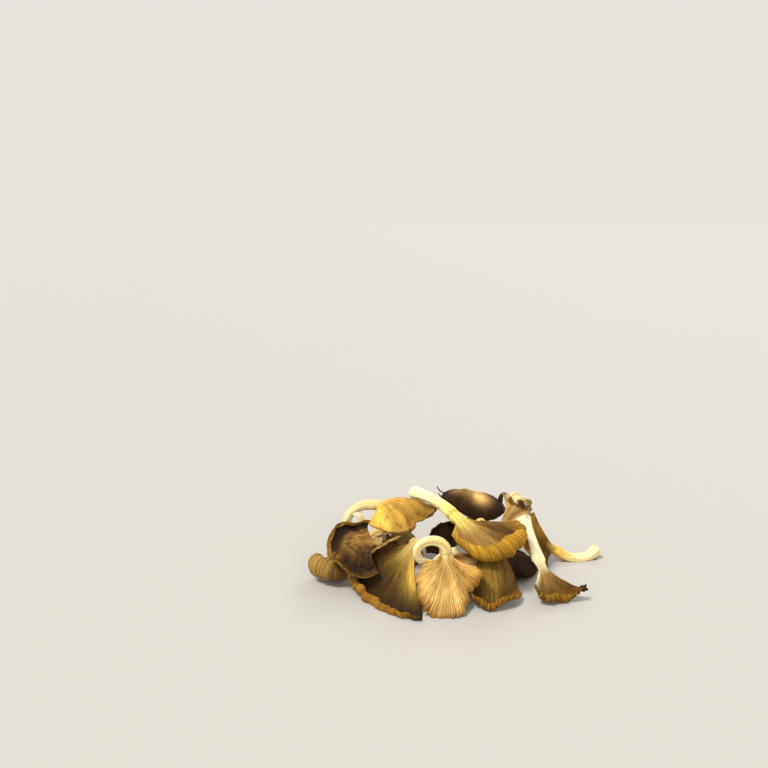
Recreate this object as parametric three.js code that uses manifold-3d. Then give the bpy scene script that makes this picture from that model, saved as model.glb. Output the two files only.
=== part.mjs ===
// A cluster of dried oyster mushrooms lying in a heap on a flat surface.
// Millimetres and degrees, +Z up, -Y towards the front of the heap, the surface at z = 0.
// Each mushroom grew in one piece, so its stem, cap and gills are one closed body.

import * as THREE from "three";
import { mergeVertices } from "three/addons/utils/BufferGeometryUtils.js";
import Module from "manifold-3d";

const wasm = await Module();
wasm.setup();

// Driving dimensions
const fleshThickness = 1.8;
const gillDepth = 0.8;
const neckBlend = 0.24;
const neckOffset = 0.4;
const fanFlare = 0.6;
const rollEase = 1.3;
const waveEase = 1.5;
const capStart = 0.1;
const pathSteps = 60;
const fleshRoughness = 0.85;
const surfaceSize = 400;
const surfaceDepth = 40;

// Columns across the cap, rows along the stem, rows on the cap's inner part and on its rolled rim
const detail = {
  large: { columns: 22, stemRows: 4, innerRows: 4, rimRows: 5 },
  middle: { columns: 18, stemRows: 3, innerRows: 3, rimRows: 3 },
  small: { columns: 12, stemRows: 3, innerRows: 3, rimRows: 2 },
};

// Each cap is a fan of rays from the neck, where the stem meets it, to the rim.
// facing is the middle ray's heading, its rise and the cap's roll about it (180 is gills up).
// fan is the outer rays' angles. outline, slope, arch, curl and curlFrom are spread over the fan:
// a ray's length over reach, its climb at the neck, its bend along its length,
// and the roll of its rim from curlFrom of its length onwards.
// ruffle is the height, number and phase of the waves round the rim.
// A stem runs from the neck to its base. Its heading, rise and radius are spread over its length.
const mushrooms = [
  {
    name: "broad_fan_front", size: "large", colour: 0x5f5030,
    neck: [-27, -23, 28], facing: [230, -46, 0], neckRadius: 3.2,
    fan: [-87, 34], reach: 50, outline: [0.3, 0.5, 0.96, 0.95, 0.94, 0.95, 0.93],
    slope: [0, 0, 0, 0, 0, -7, -11], arch: [0, -10, -15, -12, -8, 2, 10],
    curl: [200, 225, 240, 250, 250, 220, 120], curlFrom: [0.3, 0.52, 0.72, 0.74, 0.74, 0.76, 0.8],
    ruffle: [1.0, 2.5, 0.1],
    stem: { length: 22, heading: [90, 95], rise: [-35, -60], radius: [3.2, 3, 3] },
  },
  {
    name: "pale_gills_front", size: "large", colour: 0xd9b878,
    neck: [-10.4, -29.8, 25.8], facing: [-85, -43, 180], neckRadius: 3.5,
    fan: [-62, 72], reach: 35, outline: [0.5, 0.67, 0.7, 0.92, 1.0, 0.98, 0.78, 0.55, 0.3],
    slope: [-10, -20, 0, 0, 0, 0, 0, 0, 0], arch: [10, 5, 0, 5, 10],
    curl: [30, 40, 50, 60, 50, 40, 20], curlFrom: [0.8],
    ruffle: [1.2, 3.5, 0.3],
    stem: {
      length: 34, heading: [184, 188], rise: [88, 20, -30, -110, -175],
      radius: [3.4, 2.8, 2.4, 2.2, 1.9], rows: 9,
    },
  },
  {
    name: "long_stem_top", size: "large", colour: 0x967d50,
    neck: [-2.3, -5, 35.5], facing: [-34, -17, 32], neckRadius: 4,
    fan: [-70, 32], reach: 51, outline: [0.2, 0.45, 0.8, 0.98, 1.05, 0.96, 0.64],
    slope: [0, 0, 0, -1, -5, -10, -9], arch: [10], curl: [30, 170, 220, 230, 220, 150, 20], curlFrom: [0.58],
    ruffle: [1.2, 2.5, 0.6], flare: 0.9,
    stem: { length: 46, heading: [114, 126], rise: [9, -7], radius: [3.8, 3.2, 3.2, 3.8] },
  },
  {
    name: "grey_cap_front", size: "large", colour: 0x786941,
    neck: [16, -9.2, 23.2], facing: [-90, -8, 0], neckRadius: 3.5,
    fan: [-27, 28], reach: 50, outline: [0.76, 0.98, 0.96, 0.86, 0.72],
    slope: [10], arch: [-85], curl: [140, 220, 230, 180, 60], curlFrom: [0.78],
    ruffle: [1.0, 2.0, 0.0], flare: 1,
    stem: { length: 31, heading: [115, 120], rise: [-45, -70], radius: [3.5, 3] },
  },
  {
    name: "rolled_gills_left", size: "large", colour: 0x9a8044,
    neck: [-67.2, 1, 3.3], facing: [-120, 0, 0], neckRadius: 3.5,
    fan: [-46, 46], reach: 42, outline: [0.9, 1, 1, 1, 0.9],
    slope: [0], arch: [0], curl: [300], curlFrom: [0.36],
    ruffle: [0.4, 3, 0.0],
    stem: { length: 18, heading: [60], rise: [-5, 20], radius: [3.5, 3] },
  },
  {
    name: "dark_cup_left", size: "large", colour: 0x4b3726,
    neck: [-48.2, -11.3, 23.8], facing: [190, 0, 0], neckRadius: 3.5,
    fan: [-84, 84], reach: 30, outline: [0.52, 0.7, 0.95, 0.9, 0.76],
    slope: [14, 13, 8, 6, 2], arch: [10, 10, -20, -55, -65],
    curl: [150, 165, 100, 0, 0], curlFrom: [0.76],
    ruffle: [1.5, 3, 0.2],
    stem: { length: 24.4, heading: [100], rise: [-70, -84], radius: [3.2, 2.6, 2.4] },
  },
  {
    name: "olive_cap_back_left", size: "large", colour: 0x967d3c,
    neck: [-48.2, 27.6, 30.6], facing: [-42, -8, 5], neckRadius: 3.8,
    fan: [-66, 70], reach: 44, outline: [0.44, 0.58, 1.02, 0.76, 0.94, 0.9, 0.6],
    slope: [38, 48, 56, 50, 28], arch: [-106, -118, -128, -116, -90],
    curl: [0, 120, 190, 120, 190, 150, 0], curlFrom: [0.78],
    ruffle: [1.2, 2.5, 0.3],
    stem: {
      length: 43.4, heading: [160, 178, 205], rise: [0, -34, -84, -88],
      radius: [3.4, 2.8, 3, 3.4], rows: 7,
    },
  },
  {
    name: "dark_cap_back", size: "large", colour: 0x503e2a,
    neck: [10.1, 37.1, 34.2], facing: [-94, 0, 0], neckRadius: 4,
    fan: [-84, 80], reach: 32.5, outline: [0.62, 0.86, 1.0, 0.98, 0.74],
    slope: [50, 58, 50, 40, 36], arch: [-112, -122, -116, -104, -100], curl: [-20], curlFrom: [0.75],
    ruffle: [1.4, 2.5, 0.3],
    stem: { length: 40, heading: [80, 50], rise: [-62, -64, -30], radius: [3.8, 3, 3], rows: 5 },
  },
  {
    name: "frilled_cap_back_right", size: "middle", colour: 0x96825f,
    neck: [23.5, 3, 25.4], facing: [30, 42, 0], neckRadius: 3.2,
    fan: [-44, 28], reach: 30, outline: [0.8, 1, 1, 0.9, 0.7],
    slope: [0], arch: [0], curl: [60, 180, 240, 200, 60], curlFrom: [0.58],
    ruffle: [1.6, 3, 0.3],
    stem: { length: 14, heading: [120], rise: [-70, -80], radius: [3.2, 2.8] },
  },
  {
    name: "folded_cap_right", size: "large", colour: 0x78694b,
    neck: [42.5, -21, 17], facing: [-68, -43, 0], neckRadius: 4.2,
    fan: [-40, 36], reach: 31, outline: [0.6, 0.86, 0.9, 0.95, 0.9],
    slope: [10, 0, 0, 0, 10], arch: [0], curl: [60, 180, 200, 150, 60], curlFrom: [0.68],
    ruffle: [1.0, 2, 0.3],
    stem: {
      length: 25.5, heading: [98, 122], rise: [38, 52], radius: [4.3, 3.2, 3, 4.6],
      flatness: 0.4, rows: 5,
    },
  },
  {
    name: "bent_stem_right", size: "middle", colour: 0x82734b,
    neck: [60.5, 14, 7], facing: [166, 10, 180], neckRadius: 3.4,
    fan: [-85, 38], reach: 24.5, outline: [0.75, 0.66, 0.78, 1, 1.05],
    slope: [22, 10, -4, -25, -38], arch: [0], curl: [0], curlFrom: [0.7],
    ruffle: [1.0, 2, 0.3],
    stem: { length: 29, heading: [0, 8, 28], rise: [-40, -5, 36], radius: [3.2, 2.7, 2.8, 3.4], rows: 7 },
  },
  {
    name: "dark_cap_under_right", size: "middle", colour: 0x3c3024,
    neck: [22, 6, 6.7], facing: [-32, 0, 0], neckRadius: 3.5,
    fan: [-70, 75], reach: 26, outline: [0.75, 0.95, 1, 0.95, 0.8],
    slope: [15], arch: [-45], curl: [-20], curlFrom: [0.7],
    ruffle: [1.0, 3, 0.3],
    stem: { length: 12, heading: [130], rise: [-15, -30], radius: [3.2, 2.8] },
  },
  {
    name: "dark_cap_middle", size: "small", colour: 0x32281e,
    neck: [-7, -2, 7.6], facing: [98, 52, 0], neckRadius: 3.2,
    fan: [-50, 70], reach: 22, outline: [0.9, 1, 0.95, 0.7, 0.55],
    slope: [0], arch: [10], curl: [30], curlFrom: [0.7],
    ruffle: [1.2, 3, 0.3],
    stem: { length: 12, heading: [-20], rise: [-30, -20], radius: [3.2, 2.8] },
  },
  {
    name: "brown_cap_middle", size: "small", colour: 0x6e5037,
    neck: [-3.4, -20.8, 21.8], facing: [-55, -5, 0], neckRadius: 3,
    fan: [-60, 42], reach: 10.5, outline: [0.9, 1, 1, 1, 0.9],
    slope: [0], arch: [-20], curl: [0], curlFrom: [0.7],
    ruffle: [0.6, 2, 0.3],
    stem: { length: 28.4, heading: [180, 150], rise: [-10, -60, -80], radius: [3, 2.8] },
  },
  {
    name: "small_cap_left", size: "small", colour: 0x5a3c32,
    neck: [-39.8, -14.3, 18], facing: [170, 60, 0], neckRadius: 2.6,
    fan: [-50, 26], reach: 12, outline: [0.9, 1, 1, 1, 0.9],
    slope: [0], arch: [0], curl: [80], curlFrom: [0.5],
    ruffle: [0.6, 2, 0.3],
    stem: { length: 19.2, heading: [0], rise: [-60, -75], radius: [2.8, 2.4] },
  },
  {
    name: "grey_cap_under_left", size: "small", colour: 0x827850,
    neck: [-42, 20, 17.3], facing: [-30, -20, 0], neckRadius: 3.5,
    fan: [-70, 70], reach: 27, outline: [0.8, 1, 1, 1, 0.8],
    slope: [0], arch: [-40], curl: [0], curlFrom: [0.7],
    ruffle: [1.0, 2, 0.3],
    stem: { length: 22, heading: [150], rise: [-20, -70], radius: [3.2, 3] },
  },
];

const radians = THREE.MathUtils.degToRad;
const clamp = THREE.MathUtils.clamp;

// A smooth curve through evenly spaced values, read at t from 0 to 1
function spread(values, t) {
  const spans = values.length - 1;
  if (spans === 0) return values[0];
  const place = clamp(t, 0, 1) * spans;
  const first = Math.min(Math.floor(place), spans - 1);
  const f = place - first;
  const before = values[Math.max(first - 1, 0)];
  const start = values[first];
  const end = values[first + 1];
  const after = values[Math.min(first + 2, spans)];
  const bend = 2 * before - 5 * start + 4 * end - after;
  const twist = 3 * start - before - 3 * end + after;
  return 0.5 * (2 * start + (end - before) * f + bend * f * f + twist * f * f * f);
}

// A value from a list of path steps, read at t from 0 to 1
function along(list, t) {
  const place = clamp(t, 0, 1) * pathSteps;
  const first = Math.min(Math.floor(place), pathSteps - 1);
  const f = place - first;
  return list[first] * (1 - f) + list[first + 1] * f;
}

// The turn from a cap's own axes, middle ray along +X and its upper side up, to the heap
function capTurn([heading, rise, roll]) {
  const turn = new THREE.Matrix4().makeRotationZ(radians(heading));
  turn.multiply(new THREE.Matrix4().makeRotationY(radians(-rise)));
  return turn.multiply(new THREE.Matrix4().makeRotationX(radians(roll)));
}

// The side view of one ray of the cap: its distance from the neck and its height, step by step
function rayPath(mushroom, u) {
  const step = mushroom.reach * spread(mushroom.outline, u) / pathSteps;
  const slope = radians(spread(mushroom.slope, u));
  const arch = radians(spread(mushroom.arch, u));
  const curl = radians(spread(mushroom.curl, u));
  const from = spread(mushroom.curlFrom, u);
  const out = [0];
  const up = [0];
  for (let k = 0; k < pathSteps; k += 1) {
    const s = (k + 0.5) / pathSteps;
    const roll = curl * clamp((s - from) / (1 - from), 0, 1) ** rollEase;
    const climb = slope + arch * s + roll;
    out.push(out[k] + Math.cos(climb) * step);
    up.push(up[k] + Math.sin(climb) * step);
  }
  return { out, up };
}

// A point in the middle of the cap's flesh, at u across the fan and s from neck to rim
function capPoint(mushroom, path, u, s) {
  const flare = mushroom.flare ?? fanFlare;
  const [from, to] = mushroom.fan;
  const angle = radians(from + (to - from) * u) * (flare + (1 - flare) * s);
  const [height, waves, phase] = mushroom.ruffle;
  const wave = height * s ** waveEase * Math.sin(2 * Math.PI * (waves * u + phase));
  const out = along(path.out, s) + mushroom.neckRadius * neckOffset;
  return new THREE.Vector3(out * Math.cos(angle), out * Math.sin(angle), along(path.up, s) + wave);
}

// The cap's two faces at one row: the upper one smooth, the lower one raised in gills
function capRow(mushroom, s) {
  const { columns } = detail[mushroom.size];
  const turn = capTurn(mushroom.facing);
  const neck = new THREE.Vector3(...mushroom.neck);
  const nudge = 0.001;
  const upper = [];
  const lower = [];
  for (let i = 0; i <= columns; i += 1) {
    const u = i / columns;
    const path = rayPath(mushroom, u);
    const left = Math.max(u - nudge, 0);
    const right = Math.min(u + nudge, 1);
    const across = capPoint(mushroom, rayPath(mushroom, right), right, s);
    across.sub(capPoint(mushroom, rayPath(mushroom, left), left, s));
    const outward = capPoint(mushroom, path, u, Math.min(s + nudge, 1));
    outward.sub(capPoint(mushroom, path, u, s - nudge));
    const normal = outward.cross(across).normalize().transformDirection(turn);
    const point = capPoint(mushroom, path, u, s).applyMatrix4(turn).add(neck);
    const sides = Math.sqrt(clamp(1 - Math.abs(2 * u - 1) ** 8, 0, 1));
    const half = s === 1 ? 0 : 0.5 * fleshThickness * sides;
    const gill = (i % 2) * gillDepth * sides * (1 - s ** 4);
    upper.push(point.clone().addScaledVector(normal, half));
    lower.push(point.addScaledVector(normal, -half - gill));
  }
  return { upper, lower };
}

// The stem's middle line from neck to base, with its direction and its sideways axis at each step
function stemPath(mushroom) {
  const { length, heading, rise } = mushroom.stem;
  const direction = (t) => {
    const turn = radians(spread(heading, t));
    const climb = radians(spread(rise, t));
    const flat = Math.cos(climb);
    return new THREE.Vector3(flat * Math.cos(turn), flat * Math.sin(turn), Math.sin(climb));
  };
  const points = [new THREE.Vector3(...mushroom.neck)];
  const directions = [];
  const sideways = [];
  let side = new THREE.Vector3(0, 1, 0).transformDirection(capTurn(mushroom.facing));
  for (let k = 0; k <= pathSteps; k += 1) {
    const ahead = direction(k / pathSteps);
    side = side.clone().addScaledVector(ahead, -side.dot(ahead)).normalize();
    directions.push(ahead);
    sideways.push(side);
    const middle = direction((k + 0.5) / pathSteps);
    points.push(points[k].clone().addScaledVector(middle, length / pathSteps));
  }
  return { points, directions, sideways };
}

// The stem's two halves, upper and lower, at t from neck to base
function stemRow(mushroom, path, t) {
  const { columns } = detail[mushroom.size];
  const k = Math.round(t * pathSteps);
  const radius = spread(mushroom.stem.radius, t);
  const flatness = mushroom.stem.flatness ?? 1;
  const capUp = new THREE.Vector3(0, 0, 1).transformDirection(capTurn(mushroom.facing));
  const neckUp = path.sideways[0].clone().cross(path.directions[0]);
  const sign = neckUp.dot(capUp) < 0 ? -1 : 1;
  const up = path.sideways[k].clone().cross(path.directions[k]).normalize().multiplyScalar(sign);
  const upper = [];
  const lower = [];
  for (let i = 0; i <= columns; i += 1) {
    const angle = Math.PI * i / columns;
    const edge = path.points[k].clone().addScaledVector(path.sideways[k], -radius * Math.cos(angle));
    const rise = radius * flatness * Math.sin(angle);
    upper.push(edge.clone().addScaledVector(up, rise));
    lower.push(edge.addScaledVector(up, -rise));
  }
  return { upper, lower };
}

// The rows of a whole mushroom, from the stem's base to the cap's rim
function mushroomRows(mushroom) {
  const { stemRows, innerRows, rimRows } = detail[mushroom.size];
  const path = stemPath(mushroom);
  const count = mushroom.stem.rows ?? stemRows;
  const rows = [];
  for (let k = count; k >= 0; k -= 1) rows.push(stemRow(mushroom, path, k / count));
  const neck = rows[count];
  const rimStart = spread(mushroom.curlFrom, 0.5);
  const places = [];
  for (let k = 0; k < innerRows; k += 1) {
    places.push(capStart + (rimStart - capStart) * k / (innerRows - 1));
  }
  for (let k = 1; k <= rimRows; k += 1) places.push(rimStart + (1 - rimStart) * k / rimRows);
  for (const s of places) {
    const weight = THREE.MathUtils.smoothstep(s / neckBlend, 0, 1);
    const row = capRow(mushroom, s);
    row.upper = row.upper.map((point, i) => neck.upper[i].clone().lerp(point, weight));
    row.lower = row.lower.map((point, i) => neck.lower[i].clone().lerp(point, weight));
    rows.push(row);
  }
  return rows;
}

// The closed skin round the rows: over the upper side, back along the gills, with an end at the base
function mushroomGeometry(mushroom) {
  const { columns } = detail[mushroom.size];
  const rows = mushroomRows(mushroom);
  const around = 2 * columns;
  const points = [];
  for (const { upper, lower } of rows) {
    for (let j = 0; j < around; j += 1) {
      const i = j <= columns ? j : around - j;
      const atSide = i === 0 || i === columns;
      if (atSide) points.push(upper[i].clone().lerp(lower[i], 0.5));
      else points.push(j < columns ? upper[i] : lower[i]);
    }
  }
  const base = points.length;
  points.push(rows[0].upper[0].clone().lerp(rows[0].upper[columns], 0.5));
  const triangles = [];
  for (let r = 0; r < rows.length - 1; r += 1) {
    for (let j = 0; j < around; j += 1) {
      const a = r * around + j;
      const b = r * around + (j + 1) % around;
      const c = b + around;
      const d = a + around;
      if (j < columns) triangles.push(a, c, b, a, d, c);
      else triangles.push(a, d, b, b, d, c);
    }
  }
  for (let j = 0; j < around; j += 1) triangles.push(base, j, (j + 1) % around);
  const geometry = new THREE.BufferGeometry();
  geometry.setFromPoints(points);
  geometry.setIndex(triangles);
  return mergeVertices(geometry);
}

function toSolid(geometry) {
  const vertProperties = new Float32Array(geometry.attributes.position.array);
  const triVerts = new Uint32Array(geometry.index.array);
  return new wasm.Manifold(new wasm.Mesh({ numProp: 3, vertProperties, triVerts }));
}

function toGeometry(solid) {
  const { vertProperties, triVerts } = solid.getMesh();
  const geometry = new THREE.BufferGeometry();
  geometry.setAttribute("position", new THREE.BufferAttribute(vertProperties, 3));
  geometry.setIndex(new THREE.BufferAttribute(triVerts, 1));
  return geometry;
}

// Everything below the surface, which leaves small flat spots where a mushroom rests on it
function belowSurface() {
  const block = new THREE.BoxGeometry(surfaceSize, surfaceSize, surfaceDepth);
  block.translate(0, 0, -surfaceDepth / 2);
  block.deleteAttribute("normal");
  block.deleteAttribute("uv");
  return toSolid(mergeVertices(block));
}

function makeCluster() {
  const cluster = new THREE.Group();
  const below = belowSurface();
  for (const mushroom of mushrooms) {
    const solid = toSolid(mushroomGeometry(mushroom)).subtract(below);
    const material = new THREE.MeshStandardMaterial({
      color: mushroom.colour,
      roughness: fleshRoughness,
      metalness: 0,
    });
    const mesh = new THREE.Mesh(toGeometry(solid), material);
    mesh.name = mushroom.name;
    cluster.add(mesh);
  }
  return cluster;
}

export default makeCluster();
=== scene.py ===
"""A heap of dried oyster mushrooms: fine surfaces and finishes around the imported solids.

Each mushroom is worked out again from the values of its solid, in millimetres, with many more
rows and columns, real gills, wrinkles and fibres, and then scaled to metres.
"""

import math

import bpy
import numpy as np
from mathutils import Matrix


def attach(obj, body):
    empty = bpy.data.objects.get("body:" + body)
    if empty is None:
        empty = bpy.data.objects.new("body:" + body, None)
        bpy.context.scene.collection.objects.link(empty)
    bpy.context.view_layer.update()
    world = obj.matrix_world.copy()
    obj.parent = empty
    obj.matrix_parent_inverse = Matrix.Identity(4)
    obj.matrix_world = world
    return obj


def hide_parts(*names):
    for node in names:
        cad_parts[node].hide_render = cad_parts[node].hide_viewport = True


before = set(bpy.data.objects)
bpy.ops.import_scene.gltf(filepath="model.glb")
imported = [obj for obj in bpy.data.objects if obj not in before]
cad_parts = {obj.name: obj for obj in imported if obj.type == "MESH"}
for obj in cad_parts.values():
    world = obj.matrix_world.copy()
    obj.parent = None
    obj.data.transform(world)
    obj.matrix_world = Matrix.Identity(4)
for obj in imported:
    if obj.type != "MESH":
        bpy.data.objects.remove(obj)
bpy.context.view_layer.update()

MM = 0.001
DEGREE = math.pi / 180

# The solids' driving dimensions
FLESH = 1.8
NECK_BLEND = 0.24
NECK_OFFSET = 0.4
FAN_FLARE = 0.6
ROLL_EASE = 1.3
WAVE_EASE = 1.5
PATH_STEPS = 60

# The finer surface: columns and rows, the thin edge, the stem's rounded end (how far out and how wide
# its rings are), and how the flesh lies on the floor
FIRST_SEED = 11
SEED_STEP = 200
COLUMNS_PER_GILL = 3
GILL_PITCH = 1.25
LEAST_GILLS = 24
MOST_GILLS = {"large": 84, "middle": 64, "small": 40}
STEM_ROWS = {"large": 24, "middle": 20, "small": 16}
INNER_ROWS = {"large": 26, "middle": 22, "small": 18}
RIM_ROWS = {"large": 24, "middle": 20, "small": 14}
EDGE_STEPS = (0.3, 0.6, 0.85, 1.0)
EDGE_WIDTH = 0.9
SIDE_WIDTH = 0.03
BASE_STEPS = ((0.35, 0.93), (0.6, 0.75), (0.75, 0.45))
FLOOR_CLEARANCE = 0.02
LEAST_FLESH = 0.4
SETTLE = 0.25

# The mushrooms as their solids have them: a cap is a fan of rays from the neck, and a list is spread
# over the fan, or over the stem from the neck to its base
MUSHROOMS = [
    dict(
        name="broad_fan_front", size="large",
        neck=[-27, -23, 28], facing=[230, -46, 0], neckRadius=3.2,
        fan=[-87, 34], reach=50, outline=[0.3, 0.5, 0.96, 0.95, 0.94, 0.95, 0.93],
        slope=[0, 0, 0, 0, 0, -7, -11], arch=[0, -10, -15, -12, -8, 2, 10],
        curl=[200, 225, 240, 250, 250, 220, 120], curlFrom=[0.3, 0.52, 0.72, 0.74, 0.74, 0.76, 0.8],
        ruffle=[1.0, 2.5, 0.1],
        stem=dict(length=22, heading=[90, 95], rise=[-35, -60], radius=[3.2, 3, 3]),
    ),
    dict(
        name="pale_gills_front", size="large",
        neck=[-10.4, -29.8, 25.8], facing=[-85, -43, 180], neckRadius=3.5,
        fan=[-62, 72], reach=35, outline=[0.5, 0.67, 0.7, 0.92, 1.0, 0.98, 0.78, 0.55, 0.3],
        slope=[-10, -20, 0, 0, 0, 0, 0, 0, 0], arch=[10, 5, 0, 5, 10],
        curl=[30, 40, 50, 60, 50, 40, 20], curlFrom=[0.8],
        ruffle=[1.2, 3.5, 0.3],
        stem=dict(
            length=34, heading=[184, 188], rise=[88, 20, -30, -110, -175],
            radius=[3.4, 2.8, 2.4, 2.2, 1.9],
        ),
    ),
    dict(
        name="long_stem_top", size="large",
        neck=[-2.3, -5, 35.5], facing=[-34, -17, 32], neckRadius=4,
        fan=[-70, 32], reach=51, outline=[0.2, 0.45, 0.8, 0.98, 1.05, 0.96, 0.64],
        slope=[0, 0, 0, -1, -5, -10, -9], arch=[10],
        curl=[30, 170, 220, 230, 220, 150, 20], curlFrom=[0.58],
        ruffle=[1.2, 2.5, 0.6], flare=0.9,
        stem=dict(length=46, heading=[114, 126], rise=[9, -7], radius=[3.8, 3.2, 3.2, 3.8]),
    ),
    dict(
        name="grey_cap_front", size="large",
        neck=[16, -9.2, 23.2], facing=[-90, -8, 0], neckRadius=3.5,
        fan=[-27, 28], reach=50, outline=[0.76, 0.98, 0.96, 0.86, 0.72],
        slope=[10], arch=[-85], curl=[140, 220, 230, 180, 60], curlFrom=[0.78],
        ruffle=[1.0, 2.0, 0.0], flare=1,
        stem=dict(length=31, heading=[115, 120], rise=[-45, -70], radius=[3.5, 3]),
    ),
    dict(
        name="rolled_gills_left", size="large",
        neck=[-67.2, 1, 3.3], facing=[-120, 0, 0], neckRadius=3.5,
        fan=[-46, 46], reach=42, outline=[0.9, 1, 1, 1, 0.9],
        slope=[0], arch=[0], curl=[300], curlFrom=[0.36],
        ruffle=[0.4, 3, 0.0],
        stem=dict(length=18, heading=[60], rise=[-5, 20], radius=[3.5, 3]),
    ),
    dict(
        name="dark_cup_left", size="large",
        neck=[-48.2, -11.3, 23.8], facing=[190, 0, 0], neckRadius=3.5,
        fan=[-84, 84], reach=30, outline=[0.52, 0.7, 0.95, 0.9, 0.76],
        slope=[14, 13, 8, 6, 2], arch=[10, 10, -20, -55, -65],
        curl=[150, 165, 100, 0, 0], curlFrom=[0.76],
        ruffle=[1.5, 3, 0.2],
        stem=dict(length=24.4, heading=[100], rise=[-70, -84], radius=[3.2, 2.6, 2.4]),
    ),
    dict(
        name="olive_cap_back_left", size="large",
        neck=[-48.2, 27.6, 30.6], facing=[-42, -8, 5], neckRadius=3.8,
        fan=[-66, 70], reach=44, outline=[0.44, 0.58, 1.02, 0.76, 0.94, 0.9, 0.6],
        slope=[38, 48, 56, 50, 28], arch=[-106, -118, -128, -116, -90],
        curl=[0, 120, 190, 120, 190, 150, 0], curlFrom=[0.78],
        ruffle=[1.2, 2.5, 0.3],
        stem=dict(
            length=43.4, heading=[160, 178, 205], rise=[0, -34, -84, -88],
            radius=[3.4, 2.8, 3, 3.4],
        ),
    ),
    dict(
        name="dark_cap_back", size="large",
        neck=[10.1, 37.1, 34.2], facing=[-94, 0, 0], neckRadius=4,
        fan=[-84, 80], reach=32.5, outline=[0.62, 0.86, 1.0, 0.98, 0.74],
        slope=[50, 58, 50, 40, 36], arch=[-112, -122, -116, -104, -100], curl=[-20], curlFrom=[0.75],
        ruffle=[1.4, 2.5, 0.3],
        stem=dict(length=40, heading=[80, 50], rise=[-62, -64, -30], radius=[3.8, 3, 3]),
    ),
    dict(
        name="frilled_cap_back_right", size="middle",
        neck=[23.5, 3, 25.4], facing=[30, 42, 0], neckRadius=3.2,
        fan=[-44, 28], reach=30, outline=[0.8, 1, 1, 0.9, 0.7],
        slope=[0], arch=[0], curl=[60, 180, 240, 200, 60], curlFrom=[0.58],
        ruffle=[1.6, 3, 0.3],
        stem=dict(length=14, heading=[120], rise=[-70, -80], radius=[3.2, 2.8]),
    ),
    dict(
        name="folded_cap_right", size="large",
        neck=[42.5, -21, 17], facing=[-68, -43, 0], neckRadius=4.2,
        fan=[-40, 36], reach=31, outline=[0.6, 0.86, 0.9, 0.95, 0.9],
        slope=[10, 0, 0, 0, 10], arch=[0], curl=[60, 180, 200, 150, 60], curlFrom=[0.68],
        ruffle=[1.0, 2, 0.3],
        stem=dict(
            length=25.5, heading=[98, 122], rise=[38, 52], radius=[4.3, 3.2, 3, 4.6],
            flatness=0.4,
        ),
    ),
    dict(
        name="bent_stem_right", size="middle",
        neck=[60.5, 14, 7], facing=[166, 10, 180], neckRadius=3.4,
        fan=[-85, 38], reach=24.5, outline=[0.75, 0.66, 0.78, 1, 1.05],
        slope=[22, 10, -4, -25, -38], arch=[0], curl=[0], curlFrom=[0.7],
        ruffle=[1.0, 2, 0.3],
        stem=dict(length=29, heading=[0, 8, 28], rise=[-40, -5, 36], radius=[3.2, 2.7, 2.8, 3.4]),
    ),
    dict(
        name="dark_cap_under_right", size="middle",
        neck=[22, 6, 6.7], facing=[-32, 0, 0], neckRadius=3.5,
        fan=[-70, 75], reach=26, outline=[0.75, 0.95, 1, 0.95, 0.8],
        slope=[15], arch=[-45], curl=[-20], curlFrom=[0.7],
        ruffle=[1.0, 3, 0.3],
        stem=dict(length=12, heading=[130], rise=[-15, -30], radius=[3.2, 2.8]),
    ),
    dict(
        name="dark_cap_middle", size="small",
        neck=[-7, -2, 7.6], facing=[98, 52, 0], neckRadius=3.2,
        fan=[-50, 70], reach=22, outline=[0.9, 1, 0.95, 0.7, 0.55],
        slope=[0], arch=[10], curl=[30], curlFrom=[0.7],
        ruffle=[1.2, 3, 0.3],
        stem=dict(length=12, heading=[-20], rise=[-30, -20], radius=[3.2, 2.8]),
    ),
    dict(
        name="brown_cap_middle", size="small",
        neck=[-3.4, -20.8, 21.8], facing=[-55, -5, 0], neckRadius=3,
        fan=[-60, 42], reach=10.5, outline=[0.9, 1, 1, 1, 0.9],
        slope=[0], arch=[-20], curl=[0], curlFrom=[0.7],
        ruffle=[0.6, 2, 0.3],
        stem=dict(length=28.4, heading=[180, 150], rise=[-10, -60, -80], radius=[3, 2.8]),
    ),
    dict(
        name="small_cap_left", size="small",
        neck=[-39.8, -14.3, 18], facing=[170, 60, 0], neckRadius=2.6,
        fan=[-50, 26], reach=12, outline=[0.9, 1, 1, 1, 0.9],
        slope=[0], arch=[0], curl=[80], curlFrom=[0.5],
        ruffle=[0.6, 2, 0.3],
        stem=dict(length=19.2, heading=[0], rise=[-60, -75], radius=[2.8, 2.4]),
    ),
    dict(
        name="grey_cap_under_left", size="small",
        neck=[-42, 20, 17.3], facing=[-30, -20, 0], neckRadius=3.5,
        fan=[-70, 70], reach=27, outline=[0.8, 1, 1, 1, 0.8],
        slope=[0], arch=[-40], curl=[0], curlFrom=[0.7],
        ruffle=[1.0, 2, 0.3],
        stem=dict(length=22, heading=[150], rise=[-20, -70], radius=[3.2, 3]),
    ),
]

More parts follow.
